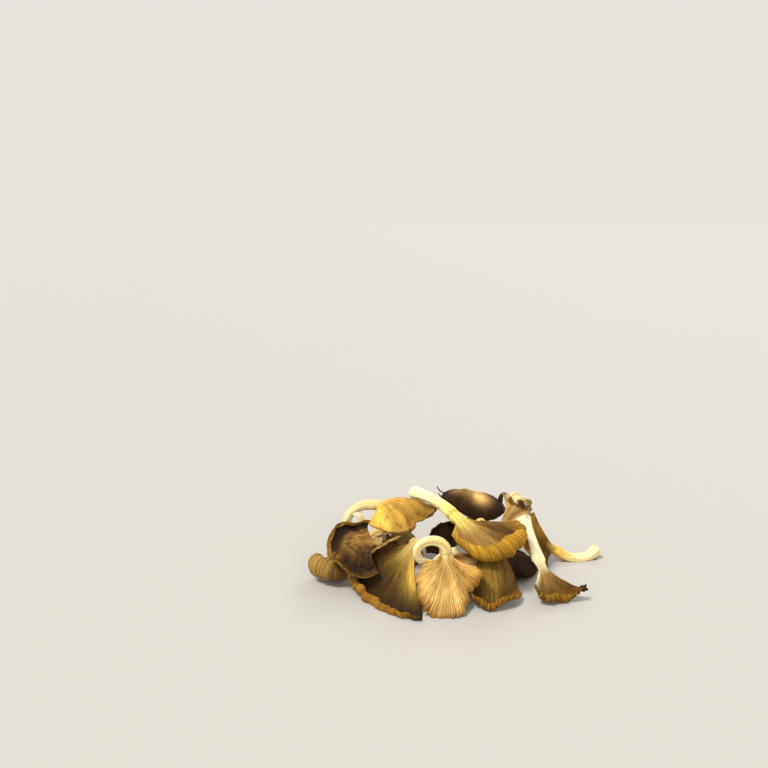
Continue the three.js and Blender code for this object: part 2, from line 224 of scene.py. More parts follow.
# Colours as they look, from 0 to 255: the top's from the neck (0) to the rim (1), the gills' light one
# on the ridges and deep one in the grooves (painted light on the ridges and painted shade in the
# grooves), the stem's at the neck and at its base. A patch is a side, a place (u across the fan, s out
# from the neck), how wide and deep it is, its colour and how much of it shows. A split is a place on
# the rim, how deep and how wide. A margin is where it starts, the u where it ends and its colour. A
# seam is a share of the stem and its colour. Relief is the gills' height in millimetres, and wrinkles
# are the radial and the ringed creases' heights.
TAN_STEM = ((225, 200, 130), (235, 215, 165))
BROWN_STEM = ((200, 160, 90), (225, 200, 145))
DARK_EDGE = (56, 36, 12)
LOOKS = {
    "broad_fan_front": dict(
        top=[
            (0, (178, 144, 58)), (0.3, (122, 94, 34)), (0.55, (72, 51, 13)), (0.85, (46, 31, 8)),
            (1, (56, 37, 9)),
        ],
        gills=((184, 134, 42), (78, 48, 4)), stem=TAN_STEM,
        patches=[
            # Painted light: a pool of light on the upper side's right end, painted as a pale yellow
            # patch
            ("top", 0.94, 0.36, 0.12, 0.24, (212, 172, 70), 0.85),
            ("top", 0.45, 0.62, 0.26, 0.26, (46, 31, 9), 0.75),
            ("top", 0.97, 0.92, 0.1, 0.2, (34, 23, 11), 0.9),
            ("top", 0.84, 0.8, 0.14, 0.2, (44, 29, 10), 0.7),
            ("gills", 0.1, 0.8, 0.16, 0.6, (228, 192, 112), 0.8),
            ("gills", 0.97, 0.95, 0.05, 0.3, (60, 40, 16), 0.8),
        ],
        relief=0.42,
    ),
    "pale_gills_front": dict(
        top=[(0, (205, 172, 100)), (0.7, (150, 112, 50)), (1, (120, 82, 26))],
        gills=((246, 214, 136), (156, 106, 26)), stem=((246, 228, 164), (250, 242, 200)),
        patches=[
            ("gills", 0.12, 0.75, 0.12, 0.4, (212, 162, 66), 0.6),
            ("gills", 0.5, 1.0, 0.6, 0.15, (150, 100, 18), 0.9),
            ("gills", 0.45, 0.15, 0.2, 0.2, (255, 240, 190), 0.6),
        ],
        relief=0.6, pitch=0.98, wavy=2.2, ragged=1.3,
        splits=[(0.27, 0.13, 0.02), (0.62, 0.08, 0.012), (0.8, 0.1, 0.015)],
    ),
    "long_stem_top": dict(
        top=[
            (0, (205, 168, 88)), (0.15, (176, 138, 72)), (0.35, (150, 114, 56)), (0.75, (152, 116, 60)),
            (1, (176, 126, 36)),
        ],
        gills=((218, 168, 52), (108, 70, 2)), stem=((255, 236, 128), (255, 248, 196)),
        patches=[
            ("top", 0.88, 0.58, 0.18, 0.28, (62, 36, 10), 1.0),
            ("top", 0.3, 0.35, 0.2, 0.2, (140, 104, 54), 0.5),
            ("top", 0.0, 0.6, 0.08, 0.6, (226, 176, 66), 0.9),
        ],
        relief=0.42, veins=0.65, seam=(0.07, (150, 98, 24)),
    ),
    "grey_cap_front": dict(
        top=[(0, (120, 92, 36)), (0.5, (112, 84, 30)), (0.8, (92, 66, 22)), (1, (130, 88, 22))],
        gills=((168, 118, 36), (86, 50, 4)), stem=TAN_STEM,
        patches=[("top", 0.45, 0.6, 0.18, 0.2, (148, 116, 48), 0.55)],
        relief=0.42, veins=0.65, wrinkles=(0.3, 0.2),
    ),
    "rolled_gills_left": dict(
        top=[(0, (125, 92, 36)), (1, (120, 86, 30))],
        gills=((196, 158, 84), (84, 54, 10)), stem=TAN_STEM,
        patches=[("gills", 0.85, 0.7, 0.2, 0.5, (92, 62, 18), 0.7)],
        relief=0.5,
    ),
    "dark_cup_left": dict(
        top=[
            (0, (105, 74, 34)), (0.35, (128, 94, 42)), (0.6, (106, 74, 28)), (0.7, (38, 23, 6)),
            (0.88, (26, 15, 3)), (1, (110, 78, 20)),
        ],
        gills=((150, 112, 34), (62, 38, 6)), stem=BROWN_STEM,
        patches=[
            ("top", 0.88, 0.62, 0.22, 0.5, (58, 36, 12), 0.9),
            ("top", 0.35, 0.4, 0.2, 0.16, (150, 112, 54), 0.6),
            ("top", 0.62, 0.83, 0.04, 0.1, (130, 90, 20), 0.8),
        ],
        relief=0.4, wrinkles=(0.5, 0.6), gloss=0.55, shine=0.14, veins=0.9,
        margin=(0.88, 0.66, (172, 126, 46)),
    ),
    "olive_cap_back_left": dict(
        top=[
            (0, (215, 178, 92)), (0.3, (200, 156, 68)), (0.6, (178, 136, 56)), (0.85, (150, 112, 44)),
            (1, (160, 116, 40)),
        ],
        gills=((208, 166, 88), (92, 60, 8)), stem=((240, 216, 150), (250, 234, 185)),
        patches=[
            ("top", 0.1, 0.6, 0.18, 0.7, (240, 196, 86), 0.9),
            ("top", 0.8, 0.6, 0.18, 0.4, (126, 94, 38), 0.75),
        ],
        relief=0.45, wrinkles=(0.36, 0.14), veins=0.45,
    ),
    "dark_cap_back": dict(
        top=[
            (0, (150, 118, 70)), (0.36, (142, 110, 62)), (0.5, (70, 43, 14)), (0.75, (46, 26, 7)),
            (1, (34, 18, 4)),
        ],
        gills=((110, 78, 34), (46, 28, 8)), stem=BROWN_STEM,
        patches=[
            ("top", 0.64, 0.52, 0.1, 0.16, (232, 188, 112), 1.0),
            ("top", 0.72, 0.3, 0.1, 0.14, (214, 170, 104), 0.8),
            ("top", 0.4, 0.22, 0.2, 0.16, (140, 110, 68), 0.6),
            ("top", 0.28, 0.5, 0.2, 0.14, (156, 122, 72), 0.8),
        ],
        relief=0.4, wrinkles=(0.2, 0.1), gloss=0.5, shine=0.1, veins=0.4, wander=0.1, edge=(92, 60, 20),
    ),
    "frilled_cap_back_right": dict(
        top=[(0, (150, 112, 58)), (0.5, (182, 144, 86)), (1, (214, 180, 112))],
        gills=((255, 240, 186), (190, 146, 76)), stem=TAN_STEM,
        patches=[
            ("gills", 0.1, 0.9, 0.12, 0.3, (56, 36, 14), 0.9),
            ("gills", 0.95, 0.9, 0.1, 0.2, (70, 46, 18), 0.8),
            ("top", 0.3, 0.5, 0.1, 0.4, (96, 66, 28), 0.7),
        ],
        relief=0.45, ragged=2,
    ),
    "folded_cap_right": dict(
        top=[(0, (232, 208, 156)), (0.25, (150, 114, 58)), (0.6, (112, 78, 32)), (1, (140, 94, 20))],
        gills=((178, 130, 40), (88, 54, 4)), stem=((250, 236, 190), (252, 244, 212)),
        patches=[
            ("top", 1.0, 0.9, 0.14, 0.3, (46, 30, 12), 0.9),
            ("top", 0.0, 0.5, 0.12, 0.9, (246, 226, 180), 0.95),
            ("gills", 1.0, 0.9, 0.16, 0.4, (50, 32, 14), 0.9),
        ],
        relief=0.42, ragged=1.5,
    ),
    "bent_stem_right": dict(
        top=[(0, (150, 118, 62)), (1, (110, 78, 32))],
        gills=((168, 124, 42), (74, 44, 6)), stem=((240, 196, 92), (255, 246, 200)),
        patches=[("gills", 0.02, 0.6, 0.2, 0.6, (124, 98, 50), 0.8)],
        relief=0.4,
    ),
    "dark_cap_under_right": dict(
        top=[(0, (60, 36, 12)), (1, (44, 25, 8))],
        gills=((96, 66, 28), (40, 24, 8)), stem=BROWN_STEM,
        relief=0.4, wrinkles=(0.4, 0.3), gloss=0.6, shine=0.08, edge=DARK_EDGE,
    ),
    "dark_cap_middle": dict(
        top=[(0, (76, 46, 16)), (0.4, (40, 23, 8)), (1, (30, 17, 5))],
        gills=((100, 68, 28), (40, 24, 8)), stem=((200, 150, 70), (225, 200, 145)),
        relief=0.4, wrinkles=(0.4, 0.3), gloss=0.6, shine=0.08, edge=DARK_EDGE,
    ),
    "brown_cap_middle": dict(
        top=[(0, (170, 125, 70)), (0.5, (112, 74, 34)), (1, (196, 158, 98))],
        gills=((190, 146, 76), (96, 60, 20)), stem=((246, 228, 180), (252, 238, 205)),
        relief=0.35,
    ),
    "small_cap_left": dict(
        top=[(0, (110, 74, 44)), (0.7, (84, 54, 34)), (0.88, (70, 44, 26)), (1, (240, 218, 165))],
        gills=((150, 106, 60), (66, 40, 20)), stem=((228, 196, 110), (238, 215, 160)),
        relief=0.4, wrinkles=(0.2, 0.4),
    ),
    "grey_cap_under_left": dict(
        top=[(0, (165, 132, 66)), (1, (128, 94, 36))],
        gills=((180, 136, 58), (92, 58, 12)), stem=TAN_STEM,
        relief=0.4,
    ),
}

# Small curls, threads and torn strips on each mushroom. They start at a place on the cap (u, s) or a
# share of the way down the stem, and go by steps in millimetres along the heap's axes. Across is the
# way that a flat one is wide.
CURL_ROWS = 28
CURL_SIDES = 12
CREAM = (248, 226, 160)
IVORY = (255, 244, 205)
TAN = (196, 150, 74)
DARK = (52, 32, 12)
UMBER = (96, 64, 24)
ROOT = ((200, 150, 70), (120, 74, 26))
CURLS = {
    "long_stem_top": [
        dict(
            name="cream_curl", at=(0.98, 0.3), steps=[(1.2, 0.2, 0.9), (3, -0.2, 1.1), (4.6, -0.5, 0)],
            radius=[1.0, 1.0, 0.8, 0.5], flatness=0.5, across=(0, 1, 1), colours=(CREAM, TAN),
        ),
    ],
    "olive_cap_back_left": [
        dict(
            name="cream_flap", at=0.42,
            steps=[(2.2, -2, 0.2), (5, -3, -1.6), (6.8, -3.4, -6), (7.4, -3.4, -11)],
            radius=[2.1, 1.9, 1.7, 1.4], flatness=0.4, across=(1, 0, 1), colours=(IVORY, CREAM),
        ),
    ],
    "dark_cap_back": [
        dict(
            name="dark_thread", at=(0.02, 0.8),
            steps=[(-1.6, -0.3, 0.6), (-3.6, -0.8, 2.0), (-5.2, -1, 4.6)],
            radius=[0.6, 0.4, 0.35, 0.3], colours=(DARK, DARK),
        ),
        dict(
            name="dark_twig", at=(0.06, 0.9), steps=[(-1.6, 0.3, 0.8), (-2.4, 0.2, 2.6)],
            radius=[0.5, 0.35, 0.25], colours=(UMBER, DARK),
        ),
        dict(
            name="dark_curl", at=(0.94, 0.78),
            steps=[(0, -1, 2.4), (0.4, -1.6, 4.8), (1.8, -1.6, 6.4), (4, -1.4, 6.6)],
            radius=[1.7, 1.6, 1.3, 1.0, 0.3], flatness=0.35, across=(1, 0, -0.3), colours=(UMBER, DARK),
        ),
    ],
    "folded_cap_right": [
        dict(
            name="torn_sheet", at=0.93, steps=[(-2, -0.6, 0.9), (-4.2, -1, 0.5), (-6.6, -1, -0.6)],
            radius=[2.7, 2.1, 1.7, 0.8], flatness=0.28, across=(0, 0.3, 1), colours=(IVORY, CREAM),
        ),
        dict(
            name="torn_tip", at=0.95, steps=[(0.6, -0.3, 1.4), (1.0, -0.5, 3.4)],
            radius=[1.6, 1.3, 0.6], flatness=0.35, across=(1, 0, 0), colours=(IVORY, CREAM),
        ),
        dict(
            name="dark_tip_upper", at=(0.98, 0.9),
            steps=[(1.2, 0, 0.2), (2.5, 0.2, 0.7), (3.2, 0.3, 1.7)],
            radius=[1.3, 1.2, 0.9, 0.6], flatness=0.5, across=(0, 0, 1), colours=(DARK, DARK),
        ),
        dict(
            name="dark_tip_lower", at=(0.95, 0.94),
            steps=[(1.3, -0.6, -0.2), (2.6, -1, 0.4), (3.6, -0.8, 0)],
            radius=[1.2, 1.1, 0.9, 0.5], flatness=0.5, across=(0, 0, 1), colours=(DARK, DARK),
        ),
    ],
    "bent_stem_right": [
        dict(
            name="root_thread", at=0.86, steps=[(-0.4, -1.6, -3), (0.8, -2, -4.6), (2.2, -1.8, -5)],
            radius=[0.8, 0.6, 0.45, 0.3], colours=ROOT,
        ),
        dict(
            name="root_twig", at=0.9, steps=[(1, -1.6, -2.6), (2, -1.6, -4.6)],
            radius=[0.7, 0.5, 0.3], colours=ROOT,
        ),
    ],
}

# Random patterns on the skin. Each has how often it repeats across and along a mushroom, how far its
# seed is from the mushroom's, its layers and its strength.
PATTERNS = {
    "coarse_rag": (14, 0, 0, 3, 0.03),
    "fine_rag": (60, 0, 9, 1, 0.014),
    "uneven_curl": (9, 3, 5, 3, 0.12),
    "ray_wander": (12, 3, 20, 3, 0.02),
    "gill_wander": (32, 8, 25, 2, 0.01),
    "rim_waves": (10, 2, 30, 3, 0.7),
    "cap_waves": (4, 3, 40, 3, 0.5),
    "radial_creases": (22, 4, 2, 2, 1),
    "ringed_creases": (5, 15, 3, 2, 1),
    "worn_gills": (0.9, 7, 7, 3, 0.45),
    "base_rag": (2, 2, 4, 3, 0.7),
    "patch_wander": (7, 5, 70, 3, 0.5),
    "ramp_wander": (5, 3, 75, 3, 1),
    "streaks": (30, 2.2, 80, 3, 1),
    "margin_ribs": (110, 3, 85, 1, 0.5),
    "blotches": (6, 4, 90, 3, 0.24),
    "gill_runs": (30, 1.4, 100, 3, 0.36),
    "gill_blotches": (5, 5, 110, 3, 0.26),
    "stem_fibres": (40, 2, 120, 1, 0.24),
    "stripes": (11, 1.2, 125, 3, 2.4),
    "stains": (5, 4, 130, 3, 2),
    "seam_wander": (7, 0, 135, 1, 0.02),
    "curl_width": (1, 6, 140, 2, 0.2),
    "curl_shade": (8, 3, 145, 3, 0.3),
}

# The stem's bulges, grooves and fibres: their scale round it, their drift along it in both
# directions, their seed, layers and strength
STEM_PATTERNS = ((1.3, 3, 2, 50, 3, 0.15), (4, 0.5, 0.7, 55, 1, 0.09), (15, 0.8, 1.1, 60, 1, 0.05))
NOISE_SIZE = 64
NOISE_SHIFT = (8.37, 5.11)

# Gills: their lean from one ridge to the next, where the even and odd ones start, and how they grow
GILL_SEED = 6
GILL_LEAN = ((0, 1 / 3, 2 / 3, 1), (1, 0.62, 0, 1))
GILL_STARTS = (0.16, 0.4)
LATEST_START = 0.16
LEAST_HEIGHT = 0.3
GILL_GROWTH = 0.12
GILL_MIDDLE = 0.35
RELIEF_GROWTH = 0.15

# Creases, thinning and the stem's two ends
CREASE_GROWTH = 0.3
RIM_THINNING = 0.45
FIRST_ROW = 0.04
NORMAL_STEP = 0.002
SMOOTH_STEM = 0.15
BASE_BULGE = 0.5
BASE_HOLLOW = 0.4
BASE_RAG_WIDTH = 1.2
JOIN_START = 0.02
JOIN_LENGTH = 0.26

# Looks of a mushroom that gives none of its own
EDGE_COLOUR = (128, 88, 28)
PLAIN_GLOSS = 0.62
PLAIN_SHINE = 0.15
PLAIN_WRINKLES = (0.2, 0.1)
PLAIN_VEINS = 0.6
PLAIN_WANDER = 0.05
PLAIN_WAVY = 1.6

# Painting: how strongly each thing shows, where it starts and over what share it fades
# How strongly shade is painted into the creases and light onto their crests
CREASE_PAINTED_SHADE = 0.9
STREAK_SHADE = 0.3
EDGE_START = 0.96
EDGE_SOFTNESS = 0.03
EDGE_COVER = 0.6
MARGIN_WANDER = 0.02
MARGIN_SOFTNESS = 0.03
MARGIN_FADE = 0.12
MARGIN_COVER = 0.85
# Painted light on the gills' ridges and painted shade in their grooves
GILL_PAINTED_LIGHT = 1.15
GILL_PAINTED_CONTRAST = 0.7
STEM_PALING = 1.4
STEM_LIGHT = 1.05
STRIPE_COLOUR = (226, 178, 72)
STRIPE_COVER = 0.5
STAIN_COLOUR = (170, 118, 44)
STAIN_COVER = 0.35
STAIN_FROM = 0.5
SEAM_WIDTH = 0.035
SEAM_COVER = 0.7
CURL_PLACE = 0.3

# The skin's texture: scales of place (across, along, side) or of metres, and ranges of values
FIBRE_SCALE = (130, 9, 3)
PUCKER_SCALE = (48, 11, 3)
SPECK_SCALE = 900
GRAIN_RANGE = (0.12, 0.42)
GRAIN_SHADE = (0.74, 1.3)
PUCKER_RANGE = (0.3, 0.7)
PUCKER_SHADE = (0.86, 1.12)
SPECK_RANGE = (0.3, 0.7)
GLOSS_SPREAD = 0.25
BUMP_STRENGTH = 0.8
BUMP_HEIGHT = 0.0007
VEIN_SCALE = (17, 2.4, 2)
VEIN_BEND_SCALE = 55
VEIN_BEND = (0, 1.3)
VEIN_WIDTH = 0.05
VEIN_BREAK_SCALE = 90
VEIN_BREAK_RANGE = (0.4, 0.62)
VEIN_START = (0.1, 0.3)
UPPER_SIDE = (0, 0.4)

# The photograph's camera, in millimetres, tipped down by an angle in degrees
CAMERA_PLACE = (-44, -410, 203)
CAMERA_TIP = 12.33
CAMERA_LENS = 35.156
SENSOR_WIDTH = 36
CLIP_START = 0.01

# The floor in metres, and the suns: name, where from, power, spread in degrees and colour
FLOOR_SIZE = 80.0
FLOOR_COLOUR = (170, 169, 167)
FLOOR_ROUGHNESS = 0.85
SUNS = (
    ("key", (-0.4, -0.3, 0.85), 3.3, 14, (1.0, 0.95, 0.86)),
    ("back", (0.35, 0.75, 0.6), 0.7, 20, (1.0, 0.96, 0.9)),
    ("fill", (0.3, -0.9, 0.4), 0.6, 30, (1.0, 0.94, 0.84)),
)
SKY_COLOUR = (1, 0.965, 0.905, 1)
SKY_STRENGTH = 0.8


def linear(colour):
    """A colour from 0 to 255 as it looks, as light."""
    c = np.asarray(colour, float) / 255
    return np.where(c < 0.04045, c / 12.92, ((c + 0.055) / 1.055) ** 2.4)


def spread(values, t):
    """A smooth curve through evenly spaced values, read at t from 0 to 1."""
    values = np.asarray(values, float)
    t = np.asarray(t, float)
    spans = len(values) - 1
    if spans == 0:
        return np.full_like(t, values[0])
    place = np.clip(t, 0, 1) * spans
    first = np.minimum(place.astype(int), spans - 1)
    f = place - first
    before = values[np.maximum(first - 1, 0)]
    start = values[first]
    end = values[first + 1]
    after = values[np.minimum(first + 2, spans)]
    bend = 2 * before - 5 * start + 4 * end - after
    twist = 3 * start - before - 3 * end + after
    return 0.5 * (2 * start + (end - before) * f + bend * f**2 + twist * f**3)


def ease(x):
    """From 0 to 1 as x does, but level at both ends."""
    x = np.clip(x, 0, 1)
    return x * x * (3 - 2 * x)


def round_off(share):
    """From 0 at an edge to 1 inside, as a quarter circle."""
    return np.sqrt(1 - (1 - np.clip(share, 0, 1)) ** 2)


def unit(v):
    """The same directions, each 1 long."""
    return v / np.maximum(np.linalg.norm(v, axis=-1, keepdims=True), 1e-9)


def noise(x, y, seed):
    """Smooth random values from -1 to 1 over a plane."""
    grid = np.random.default_rng(seed).uniform(-1, 1, (NOISE_SIZE, NOISE_SIZE))
    x = np.asarray(x, float) + NOISE_SHIFT[0]
    y = np.asarray(y, float) + NOISE_SHIFT[1]
    x, y = np.broadcast_arrays(x, y)
    ix = np.floor(x).astype(int)
    iy = np.floor(y).astype(int)
    fx = ease(x - ix)
    fy = ease(y - iy)
    a = grid[ix % NOISE_SIZE, iy % NOISE_SIZE]
    b = grid[(ix + 1) % NOISE_SIZE, iy % NOISE_SIZE]
    c = grid[ix % NOISE_SIZE, (iy + 1) % NOISE_SIZE]
    d = grid[(ix + 1) % NOISE_SIZE, (iy + 1) % NOISE_SIZE]
    return (a * (1 - fx) + b * fx) * (1 - fy) + (c * (1 - fx) + d * fx) * fy


def layered(x, y, seed, layers):
    """Noise in layers, each twice as fine and half as strong as the one before."""
    total = 0
    for k in range(layers):
        total = total + noise(x * 2**k, y * 2**k, seed + k) / 2**k
    return total / (2 - 2 ** (1 - layers))


def pattern(name, across, along, seed):
    """One of the random patterns at places across and along a mushroom."""
    wide, long, shift, layers, strength = PATTERNS[name]
    return strength * layered(across * wide, along * long, seed + shift, layers)


def cap_turn(facing):
    """The turn from a cap's own axes, middle ray along +X and its upper side up, to the heap."""
    h, t, r = facing[0] * DEGREE, -facing[1] * DEGREE, facing[2] * DEGREE
    about_z = np.array([[math.cos(h), -math.sin(h), 0], [math.sin(h), math.cos(h), 0], [0, 0, 1]])
    about_y = np.array([[math.cos(t), 0, math.sin(t)], [0, 1, 0], [-math.sin(t), 0, math.cos(t)]])
    about_x = np.array([[1, 0, 0], [0, math.cos(r), -math.sin(r)], [0, math.sin(r), math.cos(r)]])
    return about_z @ about_y @ about_x


def cap_points(m, u, s, seed=None):
    """The middle of the cap's flesh on a grid of s (rows) and u (columns), in the cap's own axes.

    With a seed the rim is ragged and split, and the rays wander, as on a dried cap.
    """
    look = LOOKS[m["name"]]
    rows = s[:, None]
    reach = m["reach"] * spread(m["outline"], u)
    slope = spread(m["slope"], u) * DEGREE
    arch = spread(m["arch"], u) * DEGREE
    curl = spread(m["curl"], u) * DEGREE
    curl_from = spread(m["curlFrom"], u)
    if seed is not None:
        rag = pattern("coarse_rag", u, 0, seed) + pattern("fine_rag", u, 0, seed)
        reach = reach * (1 + look.get("ragged", 1) * rag)
        for at, deep, wide in look.get("splits", []):
            reach = reach * (1 - deep * np.exp(-(((u - at) / wide) ** 2)))
        curl = curl * (1 + pattern("uneven_curl", u, 1, seed))
    steps = ((np.arange(PATH_STEPS) + 0.5) / PATH_STEPS)[:, None]
    roll = curl * np.clip((steps - curl_from) / (1 - curl_from), 0, 1) ** ROLL_EASE
    climb = slope + arch * steps + roll
    start = np.zeros((1, len(u)))
    out = np.vstack([start, np.cumsum(np.cos(climb) * reach / PATH_STEPS, 0)])
    up = np.vstack([start, np.cumsum(np.sin(climb) * reach / PATH_STEPS, 0)])
    grid = np.linspace(0, 1, PATH_STEPS + 1)
    out = np.stack([np.interp(s, grid, out[:, j]) for j in range(len(u))], 1)
    up = np.stack([np.interp(s, grid, up[:, j]) for j in range(len(u))], 1)
    out = out + m["neckRadius"] * NECK_OFFSET
    flare = m.get("flare", FAN_FLARE)
    low, high = m["fan"]
    angle = (low + (high - low) * u) * DEGREE * (flare + (1 - flare) * rows)
    height, waves, phase = m["ruffle"]
    up = up + height * rows**WAVE_EASE * np.sin(2 * math.pi * (waves * u + phase))
    if seed is not None:
        angle = angle + rows * pattern("ray_wander", u, rows, seed)
        angle = angle + look.get("wavy", PLAIN_WAVY) * pattern("gill_wander", u, rows, seed)
        up = up + rows**2 * pattern("rim_waves", u, rows, seed)
        up = up + rows * pattern("cap_waves", u, rows, seed)
    return np.stack([out * np.cos(angle), out * np.sin(angle), up], -1)


def cap_flesh(m, u, s, seed):
    """The middle of the flesh in the heap, and which way the upper side faces there."""
    turn = cap_turn(m["facing"])
    smooth = cap_points(m, u, s)
    left, right = (cap_points(m, np.clip(u + k * NORMAL_STEP, 0, 1), s) for k in (-1, 1))
    inner, outer = (cap_points(m, u, np.clip(s + k * NORMAL_STEP, 0, 1)) for k in (-1, 1))
    normal = unit(np.cross(outer - inner, right - left)) @ turn.T
    from_neck = np.minimum(s / NECK_BLEND, 1)[:, None, None]
    middle = smooth + from_neck * (cap_points(m, u, s, seed) - smooth)
    return middle @ turn.T + np.array(m["neck"], float), normal


def gill_pattern(u, s, gills, seed):
    """How far each point stands on a gill, 0 in a groove and 1 on a ridge.

    Each gill leans to one side. Every fourth one starts at the neck, and the ones between them
    start further out.
    """
    place = u * gills + 1e-6
    number = np.minimum(np.floor(place).astype(int), gills)
    lean = np.interp(place - number, *GILL_LEAN)
    chance = np.random.default_rng(seed + GILL_SEED)
    late = chance.uniform(0, LATEST_START, gills + 1)[number]
    height = chance.uniform(LEAST_HEIGHT, 1, gills + 1)[number]
    starts = np.where(number % 2 == 0, *GILL_STARTS) + late
    grown = np.where(number % 4 == 0, 1, ease((s[:, None] - starts + GILL_GROWTH) / GILL_GROWTH))
    worn = 1 - np.abs(pattern("worn_gills", number, s[:, None], seed))
    return lean * height * grown * worn


def stem_frames(m):
    """The stem's middle line from neck to base, with its direction and sideways axis at each step."""
    stem = m["stem"]

    def direction(t):
        turn = spread(stem["heading"], t) * DEGREE
        climb = spread(stem["rise"], t) * DEGREE
        return np.stack([np.cos(climb) * np.cos(turn), np.cos(climb) * np.sin(turn), np.sin(climb)], -1)

    middles = direction((np.arange(PATH_STEPS) + 0.5) / PATH_STEPS)
    points = np.vstack([np.zeros(3), np.cumsum(middles, 0) * stem["length"] / PATH_STEPS])
    ahead = direction(np.linspace(0, 1, PATH_STEPS + 1))
    side = cap_turn(m["facing"])[:, 1]
    sideways = []
    for d in ahead:
        side = unit(side - d * (side @ d))
        sideways.append(side)
    return points + np.array(m["neck"], float), ahead, np.array(sideways)


def stem_relief(x, y, along, seed):
    """How far the stem's skin stands out of its round section, as a share of its radius."""
    relief = 0
    for scale, drift_x, drift_y, shift, layers, strength in STEM_PATTERNS:
        here = layered(x * scale + along * drift_x, y * scale + along * drift_y, seed + shift, layers)
        relief = relief + strength * here
    return relief


def stem_rings(m, t, u, seed):
    """The stem's upper and lower halves at each t, with their fibres and long grooves."""
    stem = m["stem"]
    points, ahead, sideways = stem_frames(m)
    grid = np.linspace(0, 1, PATH_STEPS + 1)

    def at(values):
        return np.stack([np.interp(t, grid, values[:, k]) for k in range(3)], -1)

    middle = at(points)[:, None, :]
    forward = unit(at(ahead))
    side = unit(at(sideways))
    cap_up = cap_turn(m["facing"])[:, 2]
    sign = -1 if np.cross(sideways[0], ahead[0]) @ cap_up < 0 else 1
    up = unit(np.cross(side, forward)) * sign
    radius = spread(stem["radius"], t)[:, None]
    angle = math.pi * u[None, :]
    flatness = stem.get("flatness", 1)
    along = t[:, None]
    away = ease(along / SMOOTH_STEM)
    halves = []
    for half in (1, -1):
        around = angle if half > 0 else 2 * math.pi - angle
        grown = radius * (1 + away * stem_relief(np.cos(around), np.sin(around), along, seed))
        ring = middle - grown[..., None] * np.cos(angle)[..., None] * side[:, None, :]
        ring = ring + half * flatness * grown[..., None] * np.sin(angle)[..., None] * up[:, None, :]
        halves.append(ring)
    return halves[0], halves[1], forward


def plain_colour(colour, shape):
    """The same colour, as light, at every place of a grid."""
    return np.ones(shape + (3,)) * linear(colour)


def blend_colour(colour, other, weight):
    """Colours moved towards another one by a weight from 0 to 1."""
    return colour * (1 - weight[..., None]) + linear(other) * weight[..., None]


def ramp(stops, s):
    """The colour at s between stops, each a place and a colour."""
    places = [p for p, _ in stops]
    colours = np.array([linear(c) for _, c in stops])
    return np.stack([np.interp(s, places, colours[:, k]) for k in range(3)], -1)


def patches_on(colour, look, side, u, s, seed):
    """A look's soft patches on one side of the cap, each with a wandering outline."""
    for k, (where, pu, ps, wide, deep, other, strength) in enumerate(look.get("patches", [])):
        if where != side:
            continue
        wander = pattern("patch_wander", u, s, seed + k)
        weight = np.exp(-(((u - pu) / wide) ** 2) - ((s - ps) / deep) ** 2 + wander)
        colour = blend_colour(colour, other, np.clip(weight, 0, 1) * strength)
    return colour


def top_colour(look, u, s, crease, seed):
    """The upper side: its ramp from neck to rim, radial streaks, blotches, and painted shade in the
    creases with painted light on their crests.
    """
    wander = look.get("wander", PLAIN_WANDER) * pattern("ramp_wander", u, s, seed)
    colour = ramp(look["top"], np.clip(s + wander, 0, 1))
    colour = patches_on(colour, look, "top", u, s, seed)
    streak = pattern("streaks", u, s, seed)
    # Painted shade and light: darker where the creases sink, lighter where they rise
    shade = 1 + STREAK_SHADE * streak + pattern("blotches", u, s, seed) + CREASE_PAINTED_SHADE * crease
    colour = colour * shade[..., None]
    if "margin" in look:
        start, until, margin = look["margin"]
        inwards = ease((s - start - MARGIN_WANDER * streak) / MARGIN_SOFTNESS)
        here = inwards * ease((until - u) / MARGIN_FADE)
        ribs = 1 + here * pattern("margin_ribs", u, s, seed)
        colour = blend_colour(colour, margin, MARGIN_COVER * here) * ribs[..., None]
    rim = EDGE_COVER * ease((s - EDGE_START) / EDGE_SOFTNESS)
    return blend_colour(colour, look.get("edge", EDGE_COLOUR), rim)


def gill_colour(look, u, s, ridge, seed):
    """The gills: painted light on the ridges, painted shade in the deep-coloured grooves, and paler or
    browner runs of gills.
    """
    light, deep = look["gills"]
    # Painted light and shade: the ridges take the light colour and the grooves the deep one
    lit = np.clip(ridge * GILL_PAINTED_LIGHT, 0, 1) ** GILL_PAINTED_CONTRAST
    colour = blend_colour(plain_colour(deep, u.shape), light, lit)
    shade = patches_on(plain_colour(light, u.shape), look, "gills", u, s, seed) / linear(light)
    runs = 1 + pattern("gill_runs", u, s, seed) + pattern("gill_blotches", u, s, seed)
    return colour * shade * runs[..., None]


def stem_colour(look, u, t, seed):
    """The stem: from its colour at the neck to the paler base, with yellow and brown stripes."""
    near, base = look["stem"]
    colour = blend_colour(plain_colour(near, u.shape), base, ease(t * STEM_PALING))
    stripe = ease(pattern("stripes", u, t, seed))
    stain = ease(pattern("stains", u, t, seed) - STAIN_FROM)
    colour = blend_colour(colour, STRIPE_COLOUR, STRIPE_COVER * stripe)
    colour = blend_colour(colour, STAIN_COLOUR, STAIN_COVER * stain)
    if "seam" in look:
        at, seam = look["seam"]
        away = (t - at + pattern("seam_wander", u, 0, seed)) / SEAM_WIDTH
        colour = blend_colour(colour, seam, SEAM_COVER * np.exp(-(away**2)))
    return colour * (STEM_LIGHT + pattern("stem_fibres", u, t, seed))[..., None]


def cap_rows(m):
    """Rows from the neck to the rim, close together on the roll and closer still at the thin edge."""
    size = m["size"]
    rim_start = float(spread(m["curlFrom"], 0.5))
    edge = EDGE_WIDTH / m["reach"]
    inner = np.linspace(FIRST_ROW, rim_start, INNER_ROWS[size])
    rim = np.linspace(rim_start, 1 - edge, RIM_ROWS[size] + 1)[1:]
    return np.concatenate([inner, rim, 1 - edge + edge * np.array(EDGE_STEPS)])


